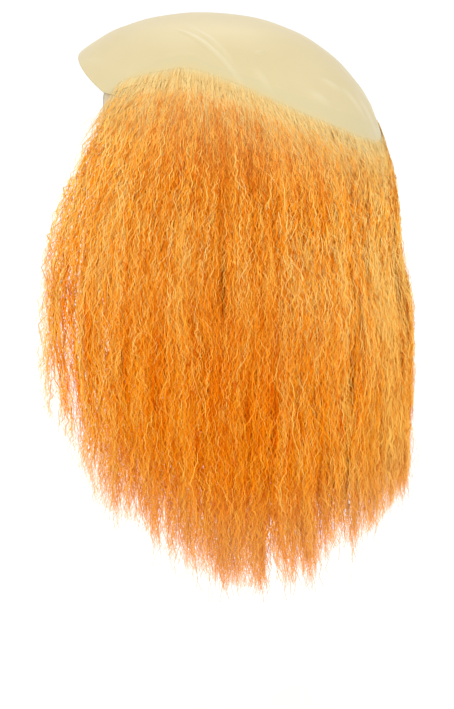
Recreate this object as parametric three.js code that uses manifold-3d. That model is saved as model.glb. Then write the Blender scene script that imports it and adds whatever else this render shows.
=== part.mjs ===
// A half-bald costume wig: a latex crown on a net foundation, with rows of crimped hair round the
// sides and back, pliable ear tabs and two elastic adjusters inside the nape.
// Millimetres, +Z up, the face side towards -Y, the wearer's left towards +X.
// The origin is the centre of the head that the wig is worn on.

import * as THREE from 'three';
import { LoftGeometry } from 'three/addons/geometries/LoftGeometry.js';
import { mergeVertices } from 'three/addons/utils/BufferGeometryUtils.js';
import Module from 'manifold-3d';

const wasm = await Module();
wasm.setup();

// The head: a rounded form, a little squarer than an ellipsoid, 558 mm round.
const HEAD_WIDTH = 156;
const HEAD_LENGTH = 196;
const CROWN_HEIGHT = 97;
const SQUARENESS = 2.25;

// Everything soft lies on the head in layers, given as [nearest, farthest] distances from it.
const GAP = 0.3;
const RIBBON_LAYER = [-1.3, -0.6];
const NET_LAYER = [0.3, 1];
const LATEX_LAYER = [1.3, 2.1];
const WEFT_LAYER = [2.9, 3.9];
const LACE_LAYER = [2.9, 3.5];

// Round the head, an angle of 0 is the middle of the face and 90 is the wearer's left.
const STEP = 10;
const LATITUDE_STEP = 8;
const LOWEST_LATITUDE = -48;

// Heights of the hairline, the lowest weft and the hair's hem, from face (50) to centre back (180).
const HAIRLINE = [[50, 61], [68, 72], [90, 77], [113, 69], [136, 53], [160, 36], [180, 28]];
const LOWEST_ROW = [[50, -10], [90, -20], [120, -32], [150, -44], [180, -50]];
const HEM = [
  [50, -112], [60, -130], [70, -148], [80, -164], [91, -184], [113, -192], [125, -180], [138, -168],
  [156, -162], [180, -150],
];

// The rows of hair, from the hairline down to the nape, and how far the whole mass stands out.
const ROWS = 6;
const HAIR_DEPTH = 15.5;
const HAIR_TOP = 1;
const SHORTER_ROW = 5;
const ROW_STARTS = [50, 60, 60, 70, 120, 120];
const WEFT_STARTS = [60, 60, 70, 70, 120, 120];
const WEFT_HEIGHT = 5;
const LACE_HEIGHT = 8;
const HEM_STEPS = 3;

// Side-view outlines, as [distance behind the head's centre, height].
const FRONT_CUT = [[-90, 87.5], [-46, 66.4]];
const LATEX_EDGE = [
  [-46, 63], [-30, 65], [-10, 70], [5, 71], [25, 64], [45, 54], [65, 43], [85, 30], [110, 14],
];
const LATEX_LAP = 10;
const NET_FRONT = [[-46, 70], [-44, 46], [-38, 10]];
const EAR_ARCH = [[-8, 10], [-4, 14], [8, 16], [20, 11], [28, -4], [33, -20], [44, -38], [60, -54]];
const NAPE_EDGE = -64;
const NAPE_CORNER = 75;
const BACK_SEAM = 58;

// The ribbons inside the cap: their middle lines, and where the bands round the head start.
const RIBBON_WIDTH = 7;
const FRONT_RIBBON = [[-42, 55], [-40, 40], [-36, 14]];
const EAR_RIBBON = [[-2, 18], [8, 20], [22, 15], [32, -2], [37, -18], [46, -32]];
const SEAM_RIBBON = [[BACK_SEAM, -30], [BACK_SEAM, 0], [BACK_SEAM, 38]];
const CROWN_RIBBON_START = 60;
const NAPE_ELASTIC_START = 130;
const NAPE_ELASTIC_HEIGHTS = [NAPE_EDGE + 2, NAPE_EDGE + 10];

// The ear tabs: net tongues in front of the ears, hinged on their top edge.
const TAB_TOP = 9.5;
const TAB_OUTLINE = [
  [-36, TAB_TOP], [-35, -6], [-29, -20], [-23, -25], [-16, -22], [-11, -10], [-10, TAB_TOP],
];
const STAY_LINE = [[-22, -18], [-22, 6]];
const STAY_WIDTH = 3;

// The adjusters: flat bands on one circle inside the nape, so that they slide along it.
const BAND_CENTRE = [-5, 18];
const BAND_RADIUS = 67.4;
const BAND_FLOOR = -50;
const BAND_HEIGHT = 8;
const BAND_STEPS = 8;
const STRAP_THICKNESS = 0.8;
const STRAP_ANGLES = [26, 56];
const HOOK_THICKNESS = 1.2;
const HOOK_ANGLES = [56.4, 70];
const KEEPER_ANGLES = [39, 45];
const KEEPER_WALL = 0.6;
const KEEPER_OVERHANG = 2;
const PATCH_ANGLES = [149, 177];
const PATCH_HEIGHTS = [-51, -41];
const PATCH_STEPS = 4;

// A distance that is well outside the whole wig, and one at which corners are the same corner.
const FAR = 150;
const MERGE_DISTANCE = 1e-4;

const radians = THREE.MathUtils.degToRad;

// The height at an angle, read from a list of [angle, height] points that is the same on both sides.
function heightAt(list, angle) {
  const folded = angle > 180 ? 360 - angle : angle;
  const next = Math.max(1, list.findIndex(([a]) => a >= folded));
  const [a0, h0] = list[next - 1];
  const [a1, h1] = list[next];
  const t = THREE.MathUtils.clamp((folded - a0) / (a1 - a0), 0, 1);
  return THREE.MathUtils.lerp(h0, h1, t);
}

// How wide the head is at a height, as a share of its widest level.
function girthAt(z, distance) {
  const share = Math.min(1, Math.abs(z) / (CROWN_HEIGHT + distance));
  return (1 - share ** SQUARENESS) ** (1 / SQUARENESS);
}

// A point at an angle round the head, at a height and a distance outside it.
function headPoint(angle, z, distance) {
  const girth = girthAt(z, distance);
  const x = (HEAD_WIDTH / 2 + distance) * girth * Math.sin(radians(angle));
  const y = -(HEAD_LENGTH / 2 + distance) * girth * Math.cos(radians(angle));
  return new THREE.Vector3(x, y, z);
}

// The point on the wearer's left that a side-view place lies over.
function sidePoint(y, z, distance) {
  const reach = (HEAD_LENGTH / 2 + distance) * girthAt(z, distance);
  const angle = THREE.MathUtils.radToDeg(Math.acos(-y / reach));
  return headPoint(angle, z, distance);
}

// A point in the mass of hair: from 0 at the cap to 1 at its outside. Below the head's widest
// level the outside hangs straight down, and the inside follows the cap as far as the nape.
function hairPoint(angle, z, share) {
  const distance = WEFT_LAYER[0] + share * HAIR_DEPTH;
  if (z >= 0) {
    return headPoint(angle, z, distance);
  }
  const inside = headPoint(angle, Math.max(z, heightAt(LOWEST_ROW, angle)), WEFT_LAYER[0]);
  const outside = headPoint(angle, 0, WEFT_LAYER[0] + HAIR_DEPTH);
  return inside.lerp(outside, share).setZ(z);
}

function rowHeight(row, angle) {
  const share = row / (ROWS - 1);
  return THREE.MathUtils.lerp(heightAt(HAIRLINE, angle), heightAt(LOWEST_ROW, angle), share);
}

// ---- Solids ----------------------------------------------------------------------------------

// The same faces with their shared corners merged, so that only positions are left.
function weld(geometry) {
  const plain = new THREE.BufferGeometry();
  plain.setAttribute('position', geometry.attributes.position);
  plain.setIndex(geometry.index);
  return mergeVertices(plain, MERGE_DISTANCE);
}

function loft(sections) {
  return weld(new LoftGeometry(sections, { capStart: true, capEnd: true }));
}

// The cross-section of a flat strip, from its low edge to its high edge.
function stripSection(low, high, [nearest, farthest]) {
  return [low(farthest), low(nearest), high(nearest), high(farthest)];
}

function toSolid(geometry) {
  const welded = weld(geometry);
  const vertProperties = new Float32Array(welded.attributes.position.array);
  const triVerts = new Uint32Array(welded.index.array);
  return new wasm.Manifold(new wasm.Mesh({ numProp: 3, vertProperties, triVerts }));
}

function toGeometry(solid) {
  const mesh = solid.getMesh();
  const geometry = new THREE.BufferGeometry();
  geometry.setAttribute('position', new THREE.BufferAttribute(mesh.vertProperties, 3));
  geometry.setIndex(new THREE.BufferAttribute(mesh.triVerts, 1));
  return geometry;
}

function mirrored(geometry) {
  const copy = geometry.clone().scale(-1, 1, 1);
  const index = copy.index.array;
  for (let i = 0; i < index.length; i += 3) {
    [index[i], index[i + 1]] = [index[i + 1], index[i]];
  }
  return copy;
}

// The head, grown by a distance, down to below the nape.
function grownHead(distance) {
  const profile = [];
  for (let latitude = LOWEST_LATITUDE; latitude < 90; latitude += LATITUDE_STEP) {
    const z = (CROWN_HEIGHT + distance) * Math.sign(latitude)
      * Math.abs(Math.sin(radians(latitude))) ** (2 / SQUARENESS);
    profile.push(new THREE.Vector2((HEAD_WIDTH / 2 + distance) * girthAt(z, distance), z));
  }
  profile.unshift(new THREE.Vector2(0, profile[0].y));
  profile.push(new THREE.Vector2(0, CROWN_HEIGHT + distance));
  const lathe = new THREE.LatheGeometry(profile, 360 / STEP);
  lathe.rotateX(Math.PI / 2);
  lathe.scale(1, (HEAD_LENGTH / 2 + distance) / (HEAD_WIDTH / 2 + distance), 1);
  return toSolid(lathe);
}

function shell([nearest, farthest]) {
  return grownHead(farthest).subtract(grownHead(nearest));
}

// A side-view outline, extruded across the head from one x to another.
function sidePrism(outline, xFrom, xTo) {
  const shape = new THREE.Shape(outline.map(([y, z]) => new THREE.Vector2(y, z)));
  const prism = new THREE.ExtrudeGeometry(shape, { depth: xTo - xFrom, bevelEnabled: false });
  const across = new THREE.Matrix4().makeBasis(
    new THREE.Vector3(0, 1, 0), new THREE.Vector3(0, 0, 1), new THREE.Vector3(1, 0, 0));
  prism.applyMatrix4(across);
  prism.translate(xFrom, 0, 0);
  return toSolid(prism);
}

// A strip that runs round the back of the head, from an angle to the same angle on the other
// side, between two heights that are each a function of the angle.
function band(start, bottom, top, layer) {
  const sections = [];
  for (let angle = start; angle <= 360 - start; angle += STEP) {
    const low = (distance) => headPoint(angle, bottom(angle), distance);
    const high = (distance) => headPoint(angle, top(angle), distance);
    sections.push(stripSection(low, high, layer));
  }
  return loft(sections);
}

// A ribbon that follows a side-view line on the wearer's left.
function ribbon(line, width, layer) {
  const curve = new THREE.SplineCurve(line.map(([y, z]) => new THREE.Vector2(y, z)));
  const steps = (line.length - 1) * 2;
  const sections = [];
  for (let i = 0; i <= steps; i += 1) {
    const middle = curve.getPoint(i / steps);
    const tangent = curve.getTangent(i / steps);
    const [sideY, sideZ] = [-tangent.y * width / 2, tangent.x * width / 2];
    const low = (distance) => sidePoint(middle.x - sideY, middle.y - sideZ, distance);
    const high = (distance) => sidePoint(middle.x + sideY, middle.y + sideZ, distance);
    sections.push(stripSection(low, high, layer));
  }
  return loft(sections);
}

// A piece of the nape's circular band: a sector of a ring that stands upright.
function bandSector(innerRadius, outerRadius, [from, to], floor, height) {
  const [x, y] = BAND_CENTRE;
  const shape = new THREE.Shape();
  shape.absarc(x, y, outerRadius, radians(from), radians(to), false);
  shape.absarc(x, y, innerRadius, radians(to), radians(from), true);
  const settings = { depth: height, bevelEnabled: false, curveSegments: BAND_STEPS };
  return weld(new THREE.ExtrudeGeometry(shape, settings).translate(0, 0, floor));
}

// ---- Cap -------------------------------------------------------------------------------------

// The latex crown: above its front cut and above its lower edge.
function baldTop() {
  const outline = [...LATEX_EDGE, [FAR, FAR], [FRONT_CUT[0][0], FAR], ...FRONT_CUT];
  return toGeometry(shell(LATEX_LAYER).intersect(sidePrism(outline, -FAR, FAR)));
}

// The net's outline: it laps under the latex, and leaves the ears free.
function netOutline() {
  const lap = LATEX_EDGE.slice(1).map(([y, z]) => [y, z + LATEX_LAP]).reverse();
  return [...NET_FRONT, ...EAR_ARCH, [NAPE_CORNER, NAPE_EDGE], [FAR, NAPE_EDGE], ...lap];
}

function netPiece(xFrom, xTo, yFrom, yTo) {
  const strip = sidePrism([[yFrom, -FAR], [yTo, -FAR], [yTo, FAR], [yFrom, FAR]], xFrom, xTo);
  const net = shell(NET_LAYER).intersect(sidePrism(netOutline(), -FAR, FAR));
  return toGeometry(net.intersect(strip));
}

function earTab() {
  return toGeometry(shell(NET_LAYER).intersect(sidePrism(TAB_OUTLINE, GAP, FAR)));
}

// The ribbon inside the cap, along the seam of latex and net.
function crownBinding() {
  const edge = (side) => (angle) => heightAt(HAIRLINE, angle) + side * RIBBON_WIDTH / 2;
  return band(CROWN_RIBBON_START, edge(-1), edge(1), RIBBON_LAYER);
}

function napeElastic() {
  const [low, high] = NAPE_ELASTIC_HEIGHTS;
  return band(NAPE_ELASTIC_START, () => low, () => high, RIBBON_LAYER);
}

function frontBinding() {
  return ribbon(FRONT_RIBBON, RIBBON_WIDTH, RIBBON_LAYER);
}

// The ribbon follows the ear arch, a half width inside the net.
function earBinding() {
  return ribbon(EAR_RIBBON, RIBBON_WIDTH, RIBBON_LAYER);
}

function backSeam() {
  return ribbon(SEAM_RIBBON, RIBBON_WIDTH, RIBBON_LAYER);
}

function earStay() {
  return ribbon(STAY_LINE, STAY_WIDTH, RIBBON_LAYER);
}

// ---- Hair ------------------------------------------------------------------------------------

// The hair of a row starts thin at its weft. It passes outside each row below, so it moves out by
// one row's depth at each, and then hangs to the hem.
function hairCurtain(row) {
  const below = ROWS - 1 - row;
  const thickness = 1 - GAP * ROWS / HAIR_DEPTH;
  const sections = [];
  for (let angle = ROW_STARTS[row]; angle <= 360 - ROW_STARTS[row]; angle += STEP) {
    const lowest = rowHeight(ROWS - 1, angle);
    const hem = heightAt(HEM, angle) + row * SHORTER_ROW;
    const places = [];
    for (let passed = 0; passed <= below; passed += 1) {
      places.push([rowHeight(row + passed, angle), passed]);
    }
    for (let i = 1; i <= HEM_STEPS; i += 1) {
      places.push([THREE.MathUtils.lerp(lowest, hem, i / HEM_STEPS), below]);
    }
    const inner = places.map(([z, passed]) => hairPoint(angle, z, passed / ROWS));
    const outer = places.map(([z, passed]) => hairPoint(angle, z, (passed + thickness) / ROWS));
    outer[0] = hairPoint(angle, places[0][0], HAIR_TOP / HAIR_DEPTH);
    sections.push([...inner.reverse(), ...outer]);
  }
  return loft(sections);
}

// The header that a row of hair is sewn to, just above the hair.
function weftHeader(row, height, layer) {
  const bottom = (angle) => rowHeight(row, angle) + GAP;
  return band(WEFT_STARTS[row], bottom, (angle) => bottom(angle) + height, layer);
}

// ---- Adjusters -------------------------------------------------------------------------------

function adjusterStrap() {
  const inside = BAND_RADIUS - STRAP_THICKNESS;
  return bandSector(inside, BAND_RADIUS, STRAP_ANGLES, BAND_FLOOR, BAND_HEIGHT);
}

function hookTab() {
  const inside = BAND_RADIUS - HOOK_THICKNESS;
  return bandSector(inside, BAND_RADIUS, HOOK_ANGLES, BAND_FLOOR, BAND_HEIGHT);
}

// A channel that holds the strap against the cap, with room for it to slide.
function strapKeeper() {
  const slotInner = BAND_RADIUS - STRAP_THICKNESS - GAP;
  const slotOuter = BAND_RADIUS + GAP;
  const outside = bandSector(slotInner - KEEPER_WALL, slotOuter, KEEPER_ANGLES,
    BAND_FLOOR - KEEPER_OVERHANG, BAND_HEIGHT + 2 * KEEPER_OVERHANG);
  const slotAngles = [KEEPER_ANGLES[0] - 1, KEEPER_ANGLES[1] + 1];
  const slot = bandSector(slotInner, slotOuter + KEEPER_WALL, slotAngles,
    BAND_FLOOR - GAP, BAND_HEIGHT + 2 * GAP);
  return toGeometry(toSolid(outside).subtract(toSolid(slot)));
}

function loopPatch() {
  const [from, to] = PATCH_ANGLES;
  const sections = [];
  for (let i = 0; i <= PATCH_STEPS; i += 1) {
    const angle = THREE.MathUtils.lerp(from, to, i / PATCH_STEPS);
    const low = (distance) => headPoint(angle, PATCH_HEIGHTS[0], distance);
    const high = (distance) => headPoint(angle, PATCH_HEIGHTS[1], distance);
    sections.push(stripSection(low, high, RIBBON_LAYER));
  }
  return loft(sections);
}

// ---- Assembly --------------------------------------------------------------------------------

const group = new THREE.Group();

const FINISHES = {
  latex: { color: '#e6d7a6', roughness: 0.45, metalness: 0 },
  net: { color: '#d9c9a3', roughness: 0.9, metalness: 0 },
  ribbon: { color: '#cfbd95', roughness: 0.8, metalness: 0 },
  weft: { color: '#b8641a', roughness: 0.9, metalness: 0 },
  hair: { color: '#f08f24', roughness: 0.6, metalness: 0 },
  elastic: { color: '#ded3b8', roughness: 0.85, metalness: 0 },
  stay: { color: '#e8e8e4', roughness: 0.4, metalness: 0 },
  tape: { color: '#f0e9da', roughness: 0.95, metalness: 0 },
};

function add(name, geometry, finish) {
  const mesh = new THREE.Mesh(geometry, new THREE.MeshStandardMaterial(FINISHES[finish]));
  mesh.name = name;
  group.add(mesh);
}

function addPair(name, geometry, finish) {
  add(`${name}_left`, geometry, finish);
  add(`${name}_right`, mirrored(geometry), finish);
}

add('bald_top', baldTop(), 'latex');
add('crown_binding', crownBinding(), 'ribbon');
addPair('net', netPiece(GAP, FAR, -FAR, BACK_SEAM - GAP / 2), 'net');
add('net_back', netPiece(-FAR, FAR, BACK_SEAM + GAP / 2, FAR), 'net');
addPair('back_seam', backSeam(), 'ribbon');
addPair('front_binding', frontBinding(), 'ribbon');
addPair('ear_binding', earBinding(), 'ribbon');
add('nape_elastic', napeElastic(), 'elastic');
addPair('ear_tab', earTab(), 'net');
addPair('ear_stay', earStay(), 'stay');

add('knotted_row', weftHeader(0, LACE_HEIGHT, LACE_LAYER), 'net');
add('hairline_hair', hairCurtain(0), 'hair');
for (let row = 1; row < ROWS; row += 1) {
  const place = ROW_STARTS[row] < 90 ? '' : 'nape_';
  add(`${place}weft_${row + 1}`, weftHeader(row, WEFT_HEIGHT, WEFT_LAYER), 'weft');
  add(`${place}hair_${row + 1}`, hairCurtain(row), 'hair');
}

addPair('adjuster_strap', adjusterStrap(), 'elastic');
addPair('hook_tab', hookTab(), 'tape');
addPair('loop_patch', loopPatch(), 'tape');
addPair('strap_keeper', strapKeeper(), 'ribbon');

export default group;
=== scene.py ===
# %% [markdown]
# # A half-bald costume wig
# The real wig is a thin latex crown joined to a net cap. Rows of orange, tightly crimped hair are
# sewn round its sides and back. The cap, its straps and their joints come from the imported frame,
# which stays where it is. This file gives each piece its surface, and grows the hair.

import math

import bpy
import numpy as np
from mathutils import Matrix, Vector


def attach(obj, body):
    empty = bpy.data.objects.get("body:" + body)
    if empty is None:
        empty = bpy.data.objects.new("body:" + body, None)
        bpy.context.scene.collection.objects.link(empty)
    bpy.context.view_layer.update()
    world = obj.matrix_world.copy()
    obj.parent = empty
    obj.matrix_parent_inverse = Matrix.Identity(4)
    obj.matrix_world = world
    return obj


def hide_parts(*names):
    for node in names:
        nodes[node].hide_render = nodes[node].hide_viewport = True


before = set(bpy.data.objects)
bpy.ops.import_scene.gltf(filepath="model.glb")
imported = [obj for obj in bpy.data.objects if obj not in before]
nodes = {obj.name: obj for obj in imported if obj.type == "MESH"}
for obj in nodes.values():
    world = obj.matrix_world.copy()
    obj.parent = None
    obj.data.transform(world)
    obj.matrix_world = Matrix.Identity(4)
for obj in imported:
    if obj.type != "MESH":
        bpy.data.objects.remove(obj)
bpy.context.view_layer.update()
scene = bpy.context.scene
scene.view_settings.view_transform = "Standard"
MM = 0.001
print("nodes in the frame:", len(nodes))

# %% [markdown]
# ## The head that everything lies on
# Net, latex and ribbon have no shape of their own: they take the head's. So one function says where
# a place on the head is, from the angle round it (0 at the face, 90 at the wearer's left), the
# height, and the distance outside it. Every soft piece below is laid with it, and they fit each
# other because they share it. The sizes are in millimetres, as a wig maker measures.

# %% The head form
HALF_WIDTH = 78.0
HALF_LENGTH = 98.0
CROWN = 97.0
SQUARENESS = 2.25


def girth(z, distance):
    """How wide the head is at a height, as a share of its widest level."""
    share = np.minimum(1.0, np.abs(z) / (CROWN + distance))
    return (1 - share ** SQUARENESS) ** (1 / SQUARENESS)


def on_head(angle, z, distance):
    """The points at these angles (degrees), heights and distances from the head."""
    turn = np.radians(angle)
    wide = girth(z, distance)
    x = (HALF_WIDTH + distance) * wide * np.sin(turn)
    y = -(HALF_LENGTH + distance) * wide * np.cos(turn)
    return np.stack(np.broadcast_arrays(x, y, z), -1)


def side_angle(y, z, distance):
    """The angle round the head of the point at this depth and height."""
    reach = (HALF_LENGTH + distance) * girth(z, distance)
    return np.degrees(np.arccos(np.clip(-y / reach, -1, 1)))


print("head round:", round(math.pi * (HALF_WIDTH + HALF_LENGTH)), "mm")

# %% [markdown]
# ## Lines on the head
# A wig maker draws the cap's lines on the block before anything is cut: the hairline, the rows for
# the hair, the hem that it will be trimmed to. Here each line is a few points of angle and height,
# smoothed so that the line has no corners.

# %% The lines
HAIRLINE = [(50, 61), (68, 72), (90, 77), (113, 69), (136, 53), (160, 36), (180, 28)]
LOWEST_ROW = [(50, -10), (90, -20), (120, -32), (150, -44), (180, -50)]
HEM = [(46, -90), (56, -114), (62, -138), (68, -147), (80, -151), (91, -176), (102, -182),
       (113, -187), (125, -180), (138, -168), (156, -162), (170, -153), (180, -149)]
# These two are seen from the side, so their points are depth and height.
LATEX_EDGE = [(-46, 63), (-30, 65), (-10, 70), (5, 71), (25, 64), (45, 54), (65, 43), (85, 30),
              (110, 14)]
FRONT_CUT = [(-90, 87.5), (-46, 66.4)]
ROWS = 6
HAIR_DEPTH = 15.5
WEFT_DISTANCE = 2.9
SMOOTH_OVER = np.linspace(-7, 7, 9)


def folded(angle):
    """The same angle on the wearer's left side: 0 at the face, 180 at the back."""
    return 180 - np.abs(180 - angle)


def height_at(line, angle):
    """A line's height at each angle, the same on both sides."""
    xs, zs = np.array(line, float).T
    own_side = folded(np.asarray(angle, float) % 360)
    return np.mean([np.interp(folded(own_side + o), xs, zs) for o in SMOOTH_OVER], axis=0)


def row_height(row, angle):
    top, low = height_at(HAIRLINE, angle), height_at(LOWEST_ROW, angle)
    return top + (low - top) * row / (ROWS - 1)


def hair_point(angle, z, share):
    """A point in the mass of hair: share is 0 at the cap and 1 at the outside. Below the widest
    level the outside hangs straight, and the inside follows the cap as far as the nape."""
    distance = WEFT_DISTANCE + share * HAIR_DEPTH
    above = on_head(angle, np.maximum(z, 0.0), distance)
    inside = on_head(angle, np.maximum(np.minimum(z, 0.0), height_at(LOWEST_ROW, angle)), WEFT_DISTANCE)
    outside = on_head(angle, np.zeros_like(z), WEFT_DISTANCE + HAIR_DEPTH)
    below = inside + (outside - inside) * share[..., None]
    point = np.where((z >= 0)[..., None], above, below)
    point[..., 2] = z
    return point


print("hairline over the left ear:", round(float(height_at(HAIRLINE, 90))), "mm up")

# %% [markdown]
# ## Laying cloth on the head
# A panel of net or a ribbon starts as a flat grid, like the cut cloth. Each corner of the grid is
# then moved onto the head, and Solidify gives the cloth its thickness. The grid's own UV map is
# scaled to metres, so that a weave drawn on it has the same size on every piece.

# %% Grid and cloth
def only(piece):
    """Make one object the active one, with nothing else selected."""
    bpy.ops.object.select_all(action="DESELECT")
    piece.select_set(True)
    bpy.context.view_layer.objects.active = piece


def finish_piece(piece, name, material, stands_for=()):
    """Name a piece, dye it, and fix it to the cap."""
    piece.name = name
    piece.data.name = name
    piece.data.materials.clear()
    piece.data.materials.append(material)
    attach(piece, "root")
    if stands_for:
        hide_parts(*stands_for)
    return piece


def make_thick(piece, thickness):
    """Give a skin its thickness (mm), half of it to each side."""
    only(piece)
    wall = piece.modifiers.new("wall", "SOLIDIFY")
    wall.thickness = thickness * MM
    wall.offset = 0
    bpy.ops.object.modifier_apply(modifier=wall.name)
    bpy.ops.object.shade_smooth()


def lay_cloth(points, thickness):
    """A grid primitive whose rows and columns are moved to the given points (mm), made thick."""
    across, along = points.shape[1], points.shape[0]
    bpy.ops.object.select_all(action="DESELECT")
    bpy.ops.mesh.primitive_grid_add(x_subdivisions=across - 1, y_subdivisions=along - 1, size=1)
    cloth = bpy.context.object
    mesh = cloth.data
    mesh.vertices.foreach_set("co", (points * MM).astype(np.float32).ravel())
    steps_u = np.linalg.norm(np.diff(points, axis=1), axis=2).mean(0) * MM
    steps_v = np.linalg.norm(np.diff(points, axis=0), axis=2).mean(1) * MM
    u = np.concatenate([[0], np.cumsum(steps_u)])
    v = np.concatenate([[0], np.cumsum(steps_v)])
    corner = np.empty(len(mesh.loops), np.int32)
    mesh.loops.foreach_get("vertex_index", corner)
    uv = np.stack([u[corner % across], v[corner // across]], -1)
    mesh.uv_layers.active.data.foreach_set("uv", uv.astype(np.float32).ravel())
    mesh.update()
    make_thick(cloth, thickness)
    return cloth


# %% [markdown]
# ## Shared finishes
# Two effects are used again and again, so each is one node group. "fabric weave" draws crossing
# threads on the UV map and puts out their height. "uneven tone" is soft noise in object space, for
# the blotches that latex and dyed cloth have. Groups only put out values that change over the
# surface: the shader stays in each material.

# %% Node groups
def new_group(name, inputs, outputs):
    group = bpy.data.node_groups.new(name, "ShaderNodeTree")
    for label, value in inputs:
        socket = group.interface.new_socket(label, in_out="INPUT", socket_type="NodeSocketFloat")
        socket.default_value = value
    for label in outputs:
        group.interface.new_socket(label, in_out="OUTPUT", socket_type="NodeSocketFloat")
    return group, group.nodes.new("NodeGroupInput"), group.nodes.new("NodeGroupOutput")


def math_node(tree, operation, first, second=None):
    node = tree.nodes.new("ShaderNodeMath")
    node.operation = operation
    for socket, value in zip(node.inputs, (first, second)):
        if value is None:
            continue
        if isinstance(value, (int, float)):
            socket.default_value = value
        else:
            tree.links.new(value, socket)
    return node.outputs[0]


def make_weave():
    group, given, out = new_group("fabric weave", [("Threads per metre", 1500)], ["Height"])
    uv = group.nodes.new("ShaderNodeUVMap")
    split = group.nodes.new("ShaderNodeSeparateXYZ")
    group.links.new(uv.outputs[0], split.inputs[0])
    waves = []
    for axis in (0, 1):
        turns = math_node(group, "MULTIPLY", split.outputs[axis], given.outputs[0])
        wave = math_node(group, "SINE", math_node(group, "MULTIPLY", turns, 2 * math.pi))
        waves.append(math_node(group, "ABSOLUTE", wave))
    thread = math_node(group, "MAXIMUM", waves[0], waves[1])
    group.links.new(thread, out.inputs["Height"])
    return group


def make_tone():
    group, given, out = new_group("uneven tone", [("Scale", 60), ("Detail", 4)], ["Tone"])
    place = group.nodes.new("ShaderNodeTexCoord")
    noise = group.nodes.new("ShaderNodeTexNoise")
    group.links.new(place.outputs["Object"], noise.inputs["Vector"])
    group.links.new(given.outputs["Scale"], noise.inputs["Scale"])
    group.links.new(given.outputs["Detail"], noise.inputs["Detail"])
    group.links.new(noise.outputs["Fac"], out.inputs["Tone"])
    return group


WEAVE = make_weave()
TONE = make_tone()

# %% [markdown]
# ## Materials from the same few parts
# Each material is a Principled shader with its colour between two tones. What drives the mix is
# the noise, the weave, or both. A Bump node turns the same weave into relief, so that the threads
# that look lighter also stand up.

# %% Material helpers
def new_material(name, roughness, **sockets):
    material = bpy.data.materials.new(name)
    material.use_nodes = True
    shader = material.node_tree.nodes["Principled BSDF"]
    shader.inputs["Roughness"].default_value = roughness
    for label, value in sockets.items():
        shader.inputs[label.replace("_", " ")].default_value = value
    return material, material.node_tree, shader


def use_group(tree, group, **values):
    node = tree.nodes.new("ShaderNodeGroup")
    node.node_tree = group
    for label, value in values.items():
        node.inputs[label.replace("_", " ")].default_value = value
    return node


def mix_colours(tree, factor, first, second):
    mix = tree.nodes.new("ShaderNodeMix")
    mix.data_type = "RGBA"
    tree.links.new(factor, mix.inputs["Factor"])
    for label, value in (("A", first), ("B", second)):
        socket = [s for s in mix.inputs if s.name == label and s.type == "RGBA"][0]
        if isinstance(value, tuple):
            socket.default_value = (*value, 1)
        else:
            tree.links.new(value, socket)
    return [s for s in mix.outputs if s.type == "RGBA"][0]


def bump(tree, shader, height, distance):
    node = tree.nodes.new("ShaderNodeBump")
    node.inputs["Strength"].default_value = 1
    node.inputs["Distance"].default_value = distance
    tree.links.new(height, node.inputs["Height"])
    tree.links.new(node.outputs[0], shader.inputs["Normal"])


CLOTH_ROUGHNESS = 0.85
CLOTH_SHEEN = 0.3


def woven(name, dark, light, threads, relief):
    """Cloth: light threads, darker gaps, and a soft unevenness in the dye."""
    material, tree, shader = new_material(name, CLOTH_ROUGHNESS, Sheen_Weight=CLOTH_SHEEN)
    weave = use_group(tree, WEAVE, Threads_per_metre=threads)
    tone = use_group(tree, TONE, Scale=90, Detail=3)
    worn = math_node(tree, "MULTIPLY", tone.outputs[0], 0.6)
    amount = math_node(tree, "ADD", math_node(tree, "MULTIPLY", weave.outputs["Height"], 0.6), worn)
    tree.links.new(mix_colours(tree, amount, dark, light), shader.inputs["Base Color"])
    bump(tree, shader, weave.outputs["Height"], relief)
    return material


NET = woven("net cloth", (0.40, 0.31, 0.17), (0.74, 0.62, 0.42), 620, 0.0002)
RIBBON = woven("galloon ribbon", (0.36, 0.28, 0.16), (0.66, 0.54, 0.36), 1500, 0.00015)
ELASTIC = woven("ribbed elastic", (0.48, 0.43, 0.33), (0.80, 0.75, 0.63), 1100, 0.0003)
WEFT = woven("weft header", (0.30, 0.09, 0.01), (0.75, 0.30, 0.04), 1300, 0.0003)
print("cloth materials:", NET.name, RIBBON.name, ELASTIC.name, WEFT.name)

# %% [markdown]
# ## The latex crown
# The crown is one thin skin, stretched over the head. A UV sphere is a good start: its pole becomes
# the crown of the head and its equator becomes the cut edge. The lower half is deleted, and each
# ring is moved to its share of the way from the crown to the edge, so the mesh has clean rows all
# the way to the cut line.

# %% Where the crown ends
LATEX_DISTANCE = 1.7
LATEX_SPOKES = 240
LATEX_RINGS = 96
HALVINGS = 40


def latex_edge_height(angle):
    """The height of the crown's edge at each angle, found by halving down from the crown."""
    xs, zs = np.array(FRONT_CUT + LATEX_EDGE[1:], float).T
    high = np.full_like(angle, CROWN - 2)
    low = np.full_like(angle, 0.0)
    for _ in range(HALVINGS):
        middle = (high + low) / 2
        y = on_head(angle, middle, LATEX_DISTANCE)[..., 1]
        inside = middle > np.interp(y, xs, zs)
        high = np.where(inside, middle, high)
        low = np.where(inside, low, middle)
    return high


def latitude_of(z, distance):
    """How far up the head a height is, from 0 at its widest level to 90 at the crown."""
    return np.degrees(np.arcsin((z / (CROWN + distance)) ** (SQUARENESS / 2)))


bpy.ops.object.select_all(action="DESELECT")
bpy.ops.mesh.primitive_uv_sphere_add(segments=LATEX_SPOKES, ring_count=2 * LATEX_RINGS, radius=1)
crown = bpy.context.object
bpy.ops.object.mode_set(mode="EDIT")
bpy.ops.mesh.select_all(action="DESELECT")
bpy.ops.object.mode_set(mode="OBJECT")
for vertex in crown.data.vertices:
    vertex.select = vertex.co.z < -0.001
bpy.ops.object.mode_set(mode="EDIT")
bpy.ops.mesh.delete(type="VERT")
bpy.ops.object.mode_set(mode="OBJECT")

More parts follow.
